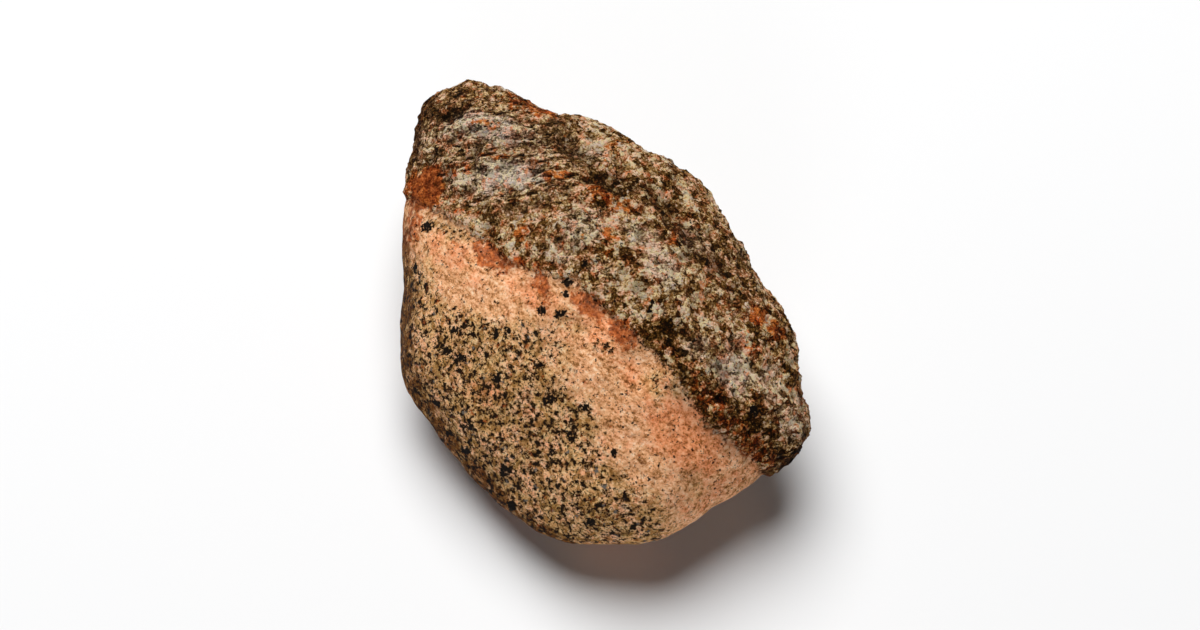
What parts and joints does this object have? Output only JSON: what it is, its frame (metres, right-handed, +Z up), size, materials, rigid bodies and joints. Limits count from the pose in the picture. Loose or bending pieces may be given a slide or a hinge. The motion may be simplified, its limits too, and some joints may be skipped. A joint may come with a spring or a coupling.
{
  "type": "rough rock",
  "caption": "Rough hand-sized stone of dark banded gneiss with a smoother pink granite face, lying on a flat bed.",
  "frame": {"origin": "centre of the bounding box's underside, in the plane of the flat bed that the stone lies on", "axes": "+Z up; +Y along the stone's length, towards the narrow nose; the pink granite face looks up and towards -X and -Y, and the pointed toe is at +X"},
  "size_m": [0.0954, 0.1104, 0.0575],
  "materials": {
    "stone": "rough natural stone, brown gneiss and peach-pink granite with black specks and rust stains"
  },
  "bodies": {
    "root": {"rock": "stone"}
  },
  "joints": []
}
